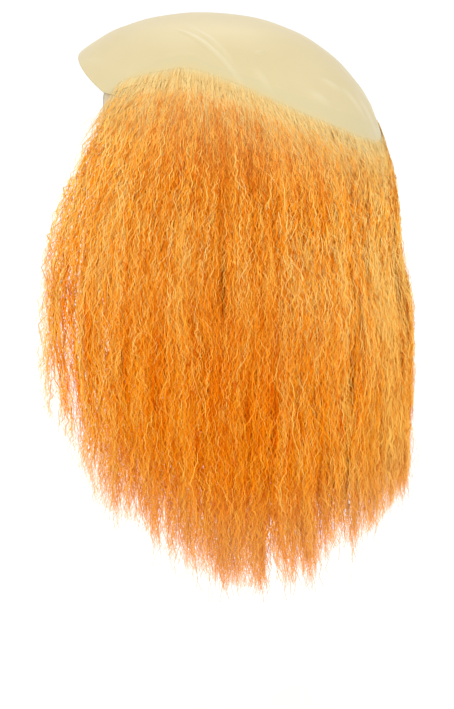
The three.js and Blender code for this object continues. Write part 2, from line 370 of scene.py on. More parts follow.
start = np.array([v.co for v in crown.data.vertices])
crown_angle = np.degrees(np.arctan2(start[:, 0], -start[:, 1])) % 360
crown_part = 1 - np.degrees(np.arcsin(np.clip(start[:, 2], 0, 1))) / 90
edge_latitude = latitude_of(latex_edge_height(crown_angle), LATEX_DISTANCE)
crown_latitude = 90 + (edge_latitude - 90) * crown_part
crown_z = (CROWN + LATEX_DISTANCE) * np.sin(np.radians(crown_latitude)) ** (2 / SQUARENESS)
crown_points = on_head(crown_angle, np.minimum(crown_z, CROWN + LATEX_DISTANCE), LATEX_DISTANCE)
print("crown of", len(start), "points, edge from", round(float(crown_z.min())), "mm up")

# %% [markdown]
# Latex never lies quite smooth. It was stretched by hand, so it has long low creases that fan from
# the crown, a doubled strip where the skin was joined, and small puckers over the back. Each crease
# is a ridge along a line between two points: its height falls off with the distance from the line.
# A slow noise on top keeps the highlights from being perfect.

# %% Creases
CREASES = [
    # from (x, y), to (x, y) in plan, width, height, all in mm
    ((22, -12), (54, 30), 1.0, 0.75),
    ((17, -8), (48, 26), 1.4, 0.40),
    ((31, 37), (36, 33), 0.8, 0.80),
    ((35, 34), (42, 31), 0.7, -0.60),
    ((43, 33), (50, 44), 1.6, 0.40),
    ((26, 66), (20, 76), 1.3, 0.60),
    ((38, 62), (33, 72), 1.5, 0.55),
    ((18, 76), (14, 88), 1.4, 0.70),
    ((9, 84), (8, 94), 1.6, 0.80),
    ((-4, 84), (-2, 94), 1.6, 0.80),
    ((-14, 80), (-17, 90), 1.4, 0.60),
    ((-30, 62), (-36, 72), 1.4, 0.60),
    ((-22, -14), (-52, 26), 1.2, 0.50),
    ((-34, 38), (-44, 30), 0.9, 0.60),
    ((-12, -62), (6, -34), 2.2, 0.25),
    ((24, -62), (38, -46), 1.8, 0.22),
]


def ridge(points, start, end, width, height):
    """How far a crease lifts each point: highest on the line, and next to nothing past its ends."""
    a, b = np.array(start, float), np.array(end, float)
    along = b - a
    reach = np.clip((points[:, :2] - a) @ along / (along @ along), 0, 1)
    gap = np.linalg.norm(points[:, :2] - (a + reach[:, None] * along), axis=1)
    fade = np.sin(math.pi * np.clip(reach, 0.02, 0.98)) ** 0.6
    return height * fade * np.exp(-(gap / width) ** 2)


def ripple(points, rng, size, height, count=24):
    """A sum of slow waves in random directions."""
    lift = np.zeros(len(points))
    for _ in range(count):
        direction = rng.normal(size=3)
        direction /= np.linalg.norm(direction) * size / (2 * math.pi) * rng.uniform(0.6, 1.6)
        lift += np.sin(points @ direction + rng.uniform(0, 2 * math.pi))
    return height * lift / math.sqrt(count)


SLOW_WAVE, SLOW_HEIGHT = 26, 0.10
rng = np.random.default_rng(7)
folds_and_highlight = sum(ridge(crown_points, *crease) for crease in CREASES)
lift = ripple(crown_points, rng, SLOW_WAVE, SLOW_HEIGHT) + folds_and_highlight
outward = crown_points / np.array([HALF_WIDTH, HALF_LENGTH, CROWN]) ** 2
outward /= np.linalg.norm(outward, axis=1)[:, None]

# %% [markdown]
# The net under the crown stops a little above the hairline, and its edge shows through the thin latex
# as a faint step. Nearer the hairline the roots show through too. So the crown carries three values per
# point for its material: how far under the net's edge it is, how near the roots, and how sharply it is
# folded, which the material turns into a painted highlight along the creases.

# %% What shows through the skin
LATEX_THICKNESS = 0.5
# The net's edge: at each angle, its height above the hairline.
NET_EDGE = [(60, 0), (66, 9), (78, 11), (95, 10), (107, 10), (138, 15), (156, 17), (180, 15)]
STEP_HEIGHT, STEP_WIDTH = 0.22, 0.9
ROOTS_REACH = 9
folded_angle = folded(crown_angle)
over_line = crown_points[:, 2] - height_at(HAIRLINE, crown_angle)
edge_angles, edge_heights = np.array(NET_EDGE, float).T
net_edge = np.interp(folded_angle, edge_angles, edge_heights)
over_net = np.clip((net_edge - over_line) / 0.8, 0, 1)
lift += STEP_HEIGHT * np.exp(-((net_edge - over_line) / STEP_WIDTH) ** 2)
crown_points = crown_points + outward * lift[:, None]
crown.data.vertices.foreach_set("co", (crown_points * MM).astype(np.float32).ravel())
roots_below = np.clip(1 - over_line / ROOTS_REACH, 0, 1) * np.clip((folded_angle - 58) / 6, 0, 1)
# The fold heights go to the material too, which paints a highlight along the creases.
shows = {"over_net": over_net, "roots_below": roots_below, "folds_and_highlight": np.abs(folds_and_highlight)}
for name, value in shows.items():
    attribute = crown.data.attributes.new(name, "FLOAT", "POINT")
    attribute.data.foreach_set("value", value.astype(np.float32))
crown.data.update()
make_thick(crown, LATEX_THICKNESS)


def read_attribute(tree, name):
    node = tree.nodes.new("ShaderNodeAttribute")
    node.attribute_name = name
    return node.outputs["Fac"]


def make_latex():
    material, tree, shader = new_material("cream latex", 0.38, Subsurface_Weight=0.1,
                                          Subsurface_Scale=0.003, Specular_IOR_Level=0.35)
    shader.inputs["Subsurface Radius"].default_value = (1.0, 0.7, 0.3)
    blotch = use_group(tree, TONE, Scale=38, Detail=5)
    speck = use_group(tree, TONE, Scale=700, Detail=2)
    skin = mix_colours(tree, blotch.outputs[0], (0.53, 0.44, 0.24), (0.575, 0.485, 0.285))
    net = math_node(tree, "MULTIPLY", read_attribute(tree, "over_net"), 0.75)
    lined = mix_colours(tree, net, skin, (0.53, 0.455, 0.26))
    fibres = math_node(tree, "POWER", read_attribute(tree, "roots_below"), 1.3)
    patchy = math_node(tree, "MULTIPLY", fibres, math_node(tree, "ADD", speck.outputs[0], 0.2))
    rooted = mix_colours(tree, patchy, lined, (0.70, 0.48, 0.15))
    # The creases are painted lighter than the skin: a painted highlight where the folds catch the
    # light.
    fold_highlight = math_node(tree, "MULTIPLY", read_attribute(tree, "folds_and_highlight"), 0.55)
    colour = mix_colours(tree, fold_highlight, rooted, (0.66, 0.60, 0.42))
    tree.links.new(colour, shader.inputs["Base Color"])
    bump(tree, shader, speck.outputs[0], 0.00008)
    return material


LATEX = make_latex()
finish_piece(crown, "latex_crown", LATEX, stands_for=["bald_top"])

# %% [markdown]
# ## Net panels and ribbons
# The cap under the hair is three net panels. Seen from the side, each has a top line under the
# latex and a bottom line that leaves the ear free. So a panel is a grid whose columns run from the
# bottom line to the top line at each depth. Ribbons follow a line with their own width.

# %% Net panels
NET_DISTANCE = 0.65
NET_THICKNESS = 0.4
LATEX_LAP = 10.0
FRONT_EDGE = -45.5
BACK_SEAM = 58.0
SEAM_GAP = 0.2
SIDE_ROWS, SIDE_COLUMNS = 60, 110
BACK_ROWS, BACK_COLUMNS = 70, 100
# Seen from the side: depth and height.
NET_BOTTOM = [(-46, 70), (-44, 46), (-38, 10), (-8, 10), (-4, 14), (8, 16), (20, 11), (28, -4),
              (33, -20), (44, -38), (60, -54), (75, -64), (110, -64)]


def line_height(line, y):
    xs, zs = np.array(line, float).T
    return np.interp(y, xs, zs)


def side_panel(mirror):
    """The net from the temple to the back seam, on one side."""
    y = np.linspace(FRONT_EDGE, BACK_SEAM - SEAM_GAP, SIDE_COLUMNS)
    rise = np.linspace(0, 1, SIDE_ROWS)[:, None]
    bottom = line_height(NET_BOTTOM, y)
    top = np.maximum(line_height(LATEX_EDGE, y) + LATEX_LAP, bottom + 0.5)
    z = bottom + (top - bottom) * rise
    points = on_head(side_angle(np.broadcast_to(y, z.shape), z, NET_DISTANCE), z, NET_DISTANCE)
    points[..., 0] *= mirror
    return points if mirror > 0 else points[:, ::-1]


def back_panel():
    """The net between the two back seams. Its edges depend on its depth, and its depth on its
    height, so both are worked out again until they settle."""
    rise = np.linspace(0, 1, BACK_ROWS)[:, None]
    across = np.linspace(-1, 1, BACK_COLUMNS)
    z = np.full((BACK_ROWS, BACK_COLUMNS), 0.0)
    half = np.full((BACK_ROWS, BACK_COLUMNS), 50.0)
    for _ in range(12):
        y = on_head(180 - np.abs(across) * half, z, NET_DISTANCE)[..., 1]
        bottom = line_height(NET_BOTTOM, y)
        top = np.minimum(line_height(LATEX_EDGE, y) + LATEX_LAP, CROWN - 8)
        z = 0.5 * z + 0.5 * (bottom + (top - bottom) * rise)
        half = 180 - side_angle(np.full_like(z, BACK_SEAM + SEAM_GAP), z, NET_DISTANCE)
    return on_head(180 - across * half, z, NET_DISTANCE)


def net_piece(name, points, node):
    return finish_piece(lay_cloth(points, NET_THICKNESS), name, NET, stands_for=[node])


left_panel = net_piece("net_panel_left", side_panel(1), "net_left")
right_panel = net_piece("net_panel_right", side_panel(-1), "net_right")
back_net = net_piece("net_panel_back", back_panel(), "net_back")

# %% [markdown]
# The bands all run round the back of the head, from one side to the other, so one function lays them:
# the ribbon inside the cap, the elastic at the nape, the headers that hold the rows of hair, and the
# lace of the hairline. They are too narrow to be sheets of their own.

# %% Ribbons, elastic and weft headers
RIBBON_DISTANCE = -0.95
RIBBON_WIDTH = 7.0
RIBBON_THICKNESS = 0.5
NAPE_BAND_BOTTOM, NAPE_BAND_TOP = -62, -54
WEFT_WIDTH = 5.0
WEFT_THICKNESS = 0.6
WEFT_SINK = 0.1
LACE_WIDTH = 4.7
LACE_THICKNESS = 0.1
LACE_SINK = 0.8
GAP = 0.3
DEGREES_PER_COLUMN = 1.5
BAND_ROWS = 6


def round_band(name, start, bottom, top, distance, thickness, material, node):
    """A band round the back of the head, from an angle to the same angle on the other side."""
    angle = np.linspace(start, 360 - start, int((360 - 2 * start) / DEGREES_PER_COLUMN))
    rise = np.linspace(0, 1, BAND_ROWS)[:, None]
    z = bottom(angle) + (top(angle) - bottom(angle)) * rise
    band = lay_cloth(on_head(np.broadcast_to(angle, z.shape), z, distance), thickness)
    finish_piece(band, name, material, stands_for=[node])


def make_lace():
    """Lace so fine that it takes the latex's colour, and the hair's where the knots are."""
    material, tree, shader = new_material("ventilating lace", 0.6, Specular_IOR_Level=0.2)
    uv = tree.nodes.new("ShaderNodeUVMap")
    split = tree.nodes.new("ShaderNodeSeparateXYZ")
    tree.links.new(uv.outputs[0], split.inputs[0])
    rise = math_node(tree, "MINIMUM", math_node(tree, "DIVIDE", split.outputs[1], LACE_WIDTH * MM), 1.0)
    knots = mix_colours(tree, rise, (0.74, 0.50, 0.16), (0.60, 0.49, 0.26))
    speck = use_group(tree, TONE, Scale=1600, Detail=1)
    lace = mix_colours(tree, speck.outputs[0], knots, (0.64, 0.49, 0.21))
    tree.links.new(lace, shader.inputs["Base Color"])
    return material


round_band("crown_ribbon", 60, lambda a: height_at(HAIRLINE, a) - RIBBON_WIDTH / 2,
           lambda a: height_at(HAIRLINE, a) + RIBBON_WIDTH / 2,
           RIBBON_DISTANCE, RIBBON_THICKNESS, RIBBON, "crown_binding")
round_band("nape_band", 130, lambda a: np.full_like(a, NAPE_BAND_BOTTOM),
           lambda a: np.full_like(a, NAPE_BAND_TOP),
           RIBBON_DISTANCE, RIBBON_THICKNESS, ELASTIC, "nape_elastic")
for row, (node, start) in enumerate([("weft_2", 60), ("weft_3", 70), ("weft_4", 70),
                                     ("nape_weft_5", 120), ("nape_weft_6", 120)], 1):
    round_band(f"header_{node}", start, lambda a: row_height(row, a) + GAP,
               lambda a: row_height(row, a) + GAP + WEFT_WIDTH,
               WEFT_DISTANCE - WEFT_SINK, WEFT_THICKNESS, WEFT, node)
round_band("hairline_lace", 60, lambda a: row_height(0, a) + GAP,
           lambda a: row_height(0, a) + GAP + LACE_WIDTH,
           WEFT_DISTANCE - LACE_SINK, LACE_THICKNESS, make_lace(), "knotted_row")

# %% [markdown]
# The short ribbons, the ear tabs, the stays and the adjusters are small and already have their real
# shape, so the frame's own pieces are kept and only get a better material. They have no UV map, so
# their weave is drawn in object space.

# %% Materials for the kept pieces
def plain_woven(name, dark, light, scale, relief):
    """Ribbed cloth in object space, for pieces with no UV map."""
    material, tree, shader = new_material(name, CLOTH_ROUGHNESS, Sheen_Weight=CLOTH_SHEEN)
    place = tree.nodes.new("ShaderNodeTexCoord")
    wave = tree.nodes.new("ShaderNodeTexWave")
    wave.bands_direction = "Z"
    wave.inputs["Scale"].default_value = scale
    wave.inputs["Distortion"].default_value = 0.6
    tree.links.new(place.outputs["Object"], wave.inputs["Vector"])
    tone = use_group(tree, TONE, Scale=300, Detail=4)
    faded = math_node(tree, "ADD", tone.outputs[0], 0.4)
    amount = math_node(tree, "MULTIPLY", wave.outputs["Fac"], faded)
    tree.links.new(mix_colours(tree, amount, dark, light), shader.inputs["Base Color"])
    bump(tree, shader, wave.outputs["Fac"], relief)
    return material


SIDE_RIBBON = plain_woven("side ribbon", (0.36, 0.28, 0.16), (0.66, 0.54, 0.36), 220, 0.0002)
TAB_NET = plain_woven("tab net", (0.42, 0.33, 0.19), (0.74, 0.62, 0.42), 160, 0.0002)
STRAP = plain_woven("strap elastic", (0.50, 0.45, 0.35), (0.82, 0.77, 0.66), 150, 0.0004)
TAPE = plain_woven("hook and loop tape", (0.62, 0.59, 0.52), (0.86, 0.84, 0.78), 300, 0.0005)
STAY = plain_woven("pliable stay", (0.74, 0.74, 0.72), (0.80, 0.80, 0.78), 40, 0.00005)
KEPT = {"back_seam": SIDE_RIBBON, "front_binding": SIDE_RIBBON, "ear_binding": SIDE_RIBBON,
        "strap_keeper": SIDE_RIBBON, "ear_tab": TAB_NET, "ear_stay": STAY,
        "adjuster_strap": STRAP, "hook_tab": TAPE, "loop_patch": TAPE}
for kind, material in KEPT.items():
    for side in ("left", "right"):
        node = nodes[f"{kind}_{side}"]
        node.data.materials.clear()
        node.data.materials.append(material)
print("kept pieces:", 2 * len(KEPT))

# %% [markdown]
# ## Hair
# A hair is far too thin to model as a round rod thousands of times. Each strand is a narrow ribbon
# that twists as it falls: some of it always faces the eye, and it catches the light in flashes, as
# crimped hair does. All strands of a kind are one mesh, built straight from arrays of points.
#
# The strand's UV map says which tone it has (across) and how far down the hair it is (up). The
# colour reads nothing else, so thousands of strands can share one small colour chart.

# %% Strands as ribbons
TONES = 256


def build_hair(name, paths, sides, width, tone, depth, material, node):
    """One mesh of ribbons. paths and sides are (strands, points, 3), in mm; width and depth (how far
    down the hair, 0 to 1) are (strands, points); tone is each strand's place on the chart."""
    count, points = paths.shape[:2]
    half = sides * width[..., None] / 2
    corners = np.stack([paths - half, paths + half], 2).reshape(-1, 3) * MM
    first = (np.arange(count)[:, None] * points + np.arange(points - 1)) * 2
    quads = np.stack([first, first + 1, first + 3, first + 2], -1).reshape(-1, 4)
    mesh = bpy.data.meshes.new(name)
    mesh.vertices.add(len(corners))
    mesh.vertices.foreach_set("co", corners.astype(np.float32).ravel())
    mesh.loops.add(quads.size)
    mesh.loops.foreach_set("vertex_index", quads.astype(np.int32).ravel())
    mesh.polygons.add(len(quads))
    mesh.polygons.foreach_set("loop_start", np.arange(0, quads.size, 4, dtype=np.int32))
    uv_of = np.empty((count, points, 2, 2))
    column = (np.floor(np.clip(tone, 0, 0.999) * TONES) + 0.25) / TONES
    uv_of[..., 0, 0] = column[:, None]
    uv_of[..., 1, 0] = column[:, None] + 0.5 / TONES
    uv_of[..., 1] = np.clip(depth, 0.002, 0.998)[..., None]
    chart = mesh.uv_layers.new(name="OFBake")
    chart.data.foreach_set("uv", uv_of.reshape(-1, 2)[quads.ravel()].astype(np.float32).ravel())
    mesh.update(calc_edges=True)
    mesh.polygons.foreach_set("use_smooth", np.ones(len(quads), bool))
    piece = bpy.data.objects.new(name, mesh)
    scene.collection.objects.link(piece)
    finish_piece(piece, name, material, [node] if node else ())
    print(name, count, "strands,", 2 * len(quads), "triangles")


# %% [markdown]
# ## Locks
# Strands near each other share a slow wander, which gathers them into locks. Some locks stand out
# and some sink in, which gives the hair its light and dark streaks. A lock's wander depends on how
# far down the hair it is, so a strand that starts half way down still follows its neighbours.

# %% Random curves and locks
FULL_TURN = 2 * math.pi


def smooth_step(x):
    x = np.clip(x, 0, 1)
    return x * x * (3 - 2 * x)


def unit(vectors):
    return vectors / np.maximum(np.linalg.norm(vectors, axis=-1, keepdims=True), 1e-9)


def slow_waves(rng, strands, t, length, waves):
    """A smooth random curve for each strand: a sum of waves of the given (length, size), in mm."""
    curve = np.zeros((strands, len(t)))
    for wave, size in waves:
        phase = rng.uniform(0, FULL_TURN, (strands, 1))
        size = rng.normal(size=(strands, 1)) * size
        turns = length / (wave * rng.uniform(0.8, 1.25, (strands, 1)))
        curve += size * np.sin(FULL_TURN * turns * t + phase)
    return curve


class Locks:
    """Locks of hair side by side round the head, each with its own wander, depth and length."""
    WAVES = (0.5, 1.1, 1.9, 3.1)

    def __init__(self, seed, spread):
        rng = np.random.default_rng(seed)
        count = int(360 / spread) + 12
        self.spread = spread
        self.jitter = rng.uniform(-0.3, 0.3, count)
        self.phase = rng.uniform(0, FULL_TURN, (2, len(self.WAVES), count))
        self.size = rng.normal(size=(2, len(self.WAVES), count))
        self.sunk = rng.normal(size=count) * 0.8
        self.hold = rng.uniform(0.35, 1, count)
        self.longer = rng.normal(size=count)
        self.tone = rng.normal(size=count)

    def of(self, angle, layer):
        """Which lock each strand belongs to, and the angle of that lock's middle."""
        lock = np.floor(angle / self.spread + layer * 1.7).astype(int)
        lock = np.clip(lock, 0, len(self.hold) - 1)
        return lock, (lock + 0.5 + self.jitter[lock] - layer * 1.7) * self.spread

    def wander(self, way, lock, down):
        """A lock's wander at each point: way 0 is aside and way 1 is outwards."""
        curve = 0
        for i, wave in enumerate(self.WAVES):
            turn = FULL_TURN * wave * down + self.phase[way, i, lock][:, None]
            curve = curve + self.size[way, i, lock][:, None] * np.sin(turn) / wave ** 0.8
        return curve


BIG_LOCKS = Locks(201, 13.0)
SMALL_LOCKS = Locks(301, 2.6)

# %% [markdown]
# ## How a strand falls
# A strand starts at its row, passes outside every row below it, and hangs to the hem. That is
# roughly the space of its curtain in the frame. The hair lies close to the cap at first and puffs out
# lower down. On top of that each strand has its own longer waves, and at each step it kinks to one
# side or the other: the crimp.

# %% The fall of a strand
FRONT_LEAN = 15.0
LEAN_FROM, LEAN_OVER = 105, 43
FREE_WAVES = ((180, 1.2), (77, 1.0), (38, 0.9), (22, 0.75), (12, 0.5), (6.5, 0.35))
# How much of the hair's depth a strand takes: close to the cap at first, then puffed out, from
# this far below the hairline and over this many millimetres.
CLOSE, PUFF = 0.22, 0.6
PUFF_FROM, PUFF_OVER = 22, 95
# How strongly the big and the small locks draw their strands together, and sway aside.
BIG_HOLD, SMALL_HOLD = 0.06, 0.22
BIG_SWAY, SMALL_SWAY = 0.8, 0.35
LOCK_DEPTH = 0.03
LOCKS_FREE_OVER = 45
LEAST_SHARE = 0.02
OWN_WAVES_OVER = 14
TIP_WIDTH = 0.3


def lean(angle):
    """Hair at the front of the sides falls forwards, over the cheek."""
    near_front = np.clip((LEAN_FROM - folded(angle)) / LEAN_OVER, 0, 1.1)
    return -FRONT_LEAN * near_front ** 1.4 * np.where(angle < 180, 1, -1)


def crimp(rng, strands, points, size):
    """Zigzag: nearly every step turns the other way."""
    turn = np.where(rng.random((strands, points)) < 0.85, -1, 1)
    return np.cumprod(turn, axis=1) * rng.uniform(0.3, 1.5, (strands, points)) * size


def fall(rng, row, angle, root_z, tip_z, layer, points, kink, loose=1.0, together=1.0):
    """The paths of strands, with their outward and sideways directions and their depths down the
    hair. layer may be one value for each strand or one for each point."""
    strands = len(angle)
    t = np.linspace(0, 1, points)
    layer = np.broadcast_to(layer if np.ndim(layer) == 2 else layer[:, None], (strands, points))
    big, big_middle = BIG_LOCKS.of(angle, 0)
    small, small_middle = SMALL_LOCKS.of(angle, layer[:, 0])
    z = root_z[:, None] + (tip_z - root_z)[:, None] * t ** 1.06
    top, hem = row_height(0, angle)[:, None], height_at(HEM, angle)[:, None]
    down = np.clip((top - z) / (top - hem), 0, 1.15)
    gather = smooth_step(down * 2.2) * together
    turn = angle[:, None] + lean(angle)[:, None] * smooth_step(down * 1.9 + 0.1)
    turn = turn + BIG_HOLD * gather * (BIG_LOCKS.hold[big] * (big_middle - angle))[:, None]
    turn = turn + SMALL_HOLD * gather * (SMALL_LOCKS.hold[small] * (small_middle - angle))[:, None]
    aside = BIG_SWAY * BIG_LOCKS.wander(0, big, down) + SMALL_SWAY * SMALL_LOCKS.wander(0, small, down)
    turn = turn + gather * aside
    pitch = (height_at(HAIRLINE, turn) - height_at(LOWEST_ROW, turn)) / (ROWS - 1)
    drop = row_height(0, turn) - z
    passed = np.clip((row_height(row, turn) - z) / pitch, 0, ROWS)
    share = (np.minimum(passed, ROWS - 1 - row) + layer * np.minimum(1, passed * 0.8)) / ROWS
    share = share * (CLOSE + PUFF * smooth_step((drop - PUFF_FROM) / PUFF_OVER))
    free = np.clip(drop / LOCKS_FREE_OVER, 0, 1) * together
    out = LOCK_DEPTH * (BIG_LOCKS.wander(1, big, down) + BIG_LOCKS.sunk[big][:, None])
    share = share + free * (out + LOCK_DEPTH * SMALL_LOCKS.wander(1, small, down))
    share = np.maximum(share, LEAST_SHARE) - 0.03 * np.exp(-np.maximum(drop, 0) / 6)
    path = hair_point(turn, z, share)
    outward = path * np.array([1 / HALF_WIDTH ** 2, 1 / HALF_LENGTH ** 2, 0])
    outward[..., 2] = np.maximum(path[..., 2], 0) / CROWN ** 2
    outward = unit(outward)
    across = unit(np.cross(unit(np.gradient(path, axis=1)), outward))
    length = float((root_z - tip_z).mean())
    let_go = np.minimum(1, np.maximum(drop, 1) / OWN_WAVES_OVER)
    own = slow_waves(rng, strands, t, length, FREE_WAVES) * loose
    own_out = slow_waves(rng, strands, t, length, FREE_WAVES[1:]) * 0.6 * loose
    path = path + across * ((own + crimp(rng, strands, points, kink)) * let_go)[..., None]
    lift_off = np.clip(drop / 50, 0.15, 1)
    off = (own_out * lift_off + crimp(rng, strands, points, 0.6 * kink)) * let_go
    # A strand's own waves take it only so far in, or it would come through the net.
    off = np.maximum(off, -0.8 - 0.8 * HAIR_DEPTH * np.maximum(share, 0))
    path = path + outward * off[..., None]
    return path, outward, across, down


def ribbon_sides(rng, outward, across, twist=0.5):
    """The direction of each ribbon's width: mostly across, turning at random as it goes down."""
    strands, points = outward.shape[:2]
    turns = np.cumsum(rng.normal(size=(strands, points)) * twist, axis=1)
    turns = 0.9 * np.sin(turns + rng.uniform(0, FULL_TURN, (strands, 1)))
    return across * np.cos(turns)[..., None] + outward * np.sin(turns)[..., None]


def taper(rng, strands, points, width):
    """Each strand's width: narrow at the root, full soon after, and fine at the tip."""
    t = np.linspace(0, 1, points)
    thinner = (1 - TIP_WIDTH) * np.clip((t - 0.6) / 0.4, 0, 1) ** 1.5
    shape = np.minimum(1, 0.5 + t * 6) * (1 - thinner)
    return width * rng.uniform(0.65, 1.35, (strands, 1)) * shape


# %% [markdown]
# ## The hair's colour
# Crimped fibre is dyed evenly, but it looks uneven: roots are pale where they leave the lace, thin hair
# at the edges and the tips is golden, a painted light shining through it, thick hair lower down is a
# deep orange, a painted shade, and each strand differs a little. The colour chart does that with two
# ramps of tone, one for the upper part of the hair and one for the lower part, deeper for that painted
# shade, a lighter colour at the tips, and a straw colour at the roots. Along each ramp the deep tones
# are painted shade and the light ones painted highlight.

# %% Hair material
def tone_ramp(tree, factor, stops):
    """A colour ramp with the given (place, colour) stops."""
    node = tree.nodes.new("ShaderNodeValToRGB")
    elements = node.color_ramp.elements
    while len(elements) < len(stops):
        elements.new(0.5)
    for element, (place, colour) in zip(elements, stops):
        element.position = place
        element.color = (*colour, 1)
    tree.links.new(factor, node.inputs["Fac"])
    return node.outputs[0]


def fade(tree, value, start, end):
    """0 before the start, 1 after the end, and smooth between."""
    node = tree.nodes.new("ShaderNodeMapRange")
    node.interpolation_type = "SMOOTHSTEP"
    node.inputs["From Min"].default_value = start
    node.inputs["From Max"].default_value = end
    tree.links.new(value, node.inputs["Value"])
    return node.outputs[0]


def make_hair(name, upper, lower, straw, pale, tip, root_end):
    """pale is how much of the straw colour the roots have, and root_end is where it ends. tip is a
    lighter colour for the tips, a painted light shining through the thin ends.
    """
    material, tree, shader = new_material(name, 0.5, Specular_IOR_Level=0)
    uv = tree.nodes.new("ShaderNodeUVMap")
    uv.uv_map = "OFBake"
    split = tree.nodes.new("ShaderNodeSeparateXYZ")
    tree.links.new(uv.outputs[0], split.inputs[0])
    tone, down = split.outputs[0], split.outputs[1]
    # Lower down the deeper ramp takes over: painted shade in the thick hair.
    shaded_lower_part = fade(tree, down, 0.2, 0.7)
    dyed = mix_colours(tree, shaded_lower_part, tone_ramp(tree, tone, upper), tone_ramp(tree, tone, lower))
    dyed_part = math_node(tree, "MULTIPLY", fade(tree, down, 0.01, root_end), pale)
    rootness = math_node(tree, "SUBTRACT", pale, dyed_part)
    light_strands = math_node(tree, "MINIMUM", math_node(tree, "ADD", tone, 0.3), 1.0)
    rooted = mix_colours(tree, math_node(tree, "MULTIPLY", rootness, light_strands), dyed, straw)
    # The tips are mixed towards a lighter colour: painted light shining through the thin ends.
    tip_painted_light = math_node(tree, "MULTIPLY", fade(tree, down, 0.78, 1.02), 0.7)
    tree.links.new(mix_colours(tree, tip_painted_light, rooted, tip), shader.inputs["Base Color"])
    return material


# Each ramp runs from deep tones, painted shade, to light ones, painted highlight. The lower ramp is
# deeper: painted shade in the thick hair lower down.
UPPER_TONES = [(0, (0.60, 0.12, 0.002)), (0.35, (0.92, 0.31, 0.012)),
               (0.7, (0.97, 0.52, 0.08)), (1, (0.98, 0.74, 0.26))]
LOWER_SHADED_TONES = [(0, (0.62, 0.085, 0.001)), (0.35, (0.89, 0.21, 0.001)),
               (0.7, (0.97, 0.38, 0.012)), (1, (1, 0.58, 0.12))]
ROOT_TONES = [(0, (0.78, 0.40, 0.08)), (0.4, (0.82, 0.51, 0.15)), (1, (0.85, 0.63, 0.27))]
HAIR = make_hair("crimped hair", UPPER_TONES, LOWER_SHADED_TONES, straw=(0.86, 0.55, 0.16), pale=0.75,
                 tip=(0.90, 0.46, 0.12), root_end=0.22)
ROOTS = make_hair("hair roots", ROOT_TONES, ROOT_TONES, straw=(0.80, 0.61, 0.28), pale=1.0,
                  tip=(0.86, 0.48, 0.13), root_end=0.12)

# %% [markdown]
# ## Three kinds of strand
# The hairline row is what shows. Its base is of broad strands in deep tones, which make it opaque; the
# deep tones are a painted shade inside the mass. Finer ones fill it. The surface is a frizz of the
# finest and lightest, sharply crimped, their light tone a painted highlight: these are short lengths
# that leave the mass and go back into it. Hair is thinner near the face, and its tone changes round the
# head: golden at the front and back, a painted light shining through the thin edges, and deepest
# between, a painted shade.

# %% Where strands stand
ROOT_START = 61.0
LOWEST_TIP = -203.0
SHORTER_ROW = 3
# The frizz's light tone is a painted highlight on the outside of the hair.
FRIZZ_HIGHLIGHT_TONE = 0.68
# How much lighter hair is at the front and behind, a painted light shining through the thin edges, and
# how much deeper at one angle between, a painted shade.
FRONT_PAINTED_LIGHT, BEHIND_PAINTED_LIGHT, PAINTED_SHADE_TONE = 0.3, 0.34, 0.15
PAINTED_SHADE_ANGLE = 110


def scatter(rng, low, high, strands):
    """Random angles, with fewer of them towards the face."""
    picked = np.empty(0)
    while len(picked) < strands:
        angle = rng.uniform(low, high, strands)
        thinning = smooth_step((folded(angle) - ROOT_START) / 26)
        keep = rng.random(strands) < 0.3 + 0.7 * thinning
        picked = np.concatenate([picked, angle[keep]])
    return picked[:strands]


def tone_of(rng, angle, middle, spread):
    """A strand's tone: by where it is round the head, which paints light at the front and back and
    shade at one angle, by its lock, and its own.
    """
    place = folded(angle)
    front = np.clip((92 - place) / 34, 0, 1)
    behind = np.clip((place - 120) / 50, 0, 1)
    deep = np.exp(-((place - PAINTED_SHADE_ANGLE) / 8) ** 2)
    big, small = BIG_LOCKS.of(angle, 0)[0], SMALL_LOCKS.of(angle, 0)[0]
    lock_tone = BIG_LOCKS.tone[big] + SMALL_LOCKS.tone[small]
    painted_light_and_shade = FRONT_PAINTED_LIGHT * front + BEHIND_PAINTED_LIGHT * behind - PAINTED_SHADE_TONE * deep
    return middle + painted_light_and_shade + 0.05 * lock_tone + spread * rng.normal(size=len(angle))


def grow_row(name, node, row, span, strands, points, width, kink, seed, tone,
             layers=(0, 1), together=1.0):
    """Strands from a row's header to the hem."""
    rng = np.random.default_rng(seed)
    angle = scatter(rng, *span, strands)
    root = row_height(row, angle) - 2.5 - rng.random(strands) * 12
    front = np.clip((88 - folded(angle)) / 26, 0, 1)
    shorter = rng.random(strands) ** (4.5 - 3 * front) * 60
    longer = (rng.random(strands) < 0.04) * rng.uniform(4, 16, strands)
    longer = longer - 3 * BIG_LOCKS.longer[BIG_LOCKS.of(angle, 0)[0]]
    longer = longer - 4.5 * SMALL_LOCKS.longer[SMALL_LOCKS.of(angle, 0)[0]]
    hem = height_at(HEM, angle + lean(angle)) + row * SHORTER_ROW
    tip = hem + rng.normal(size=strands) * 6 + shorter - longer
    tip = np.maximum(tip, LOWEST_TIP + rng.uniform(0, 6, strands))
    layer = rng.uniform(*layers, strands)
    path, outward, across, down = fall(rng, row, angle, root, tip, layer, points, kink,
                                       together=together)
    build_hair(name, path, ribbon_sides(rng, outward, across), taper(rng, strands, points, width),
               tone_of(rng, angle, tone, 0.15), down, HAIR, node)


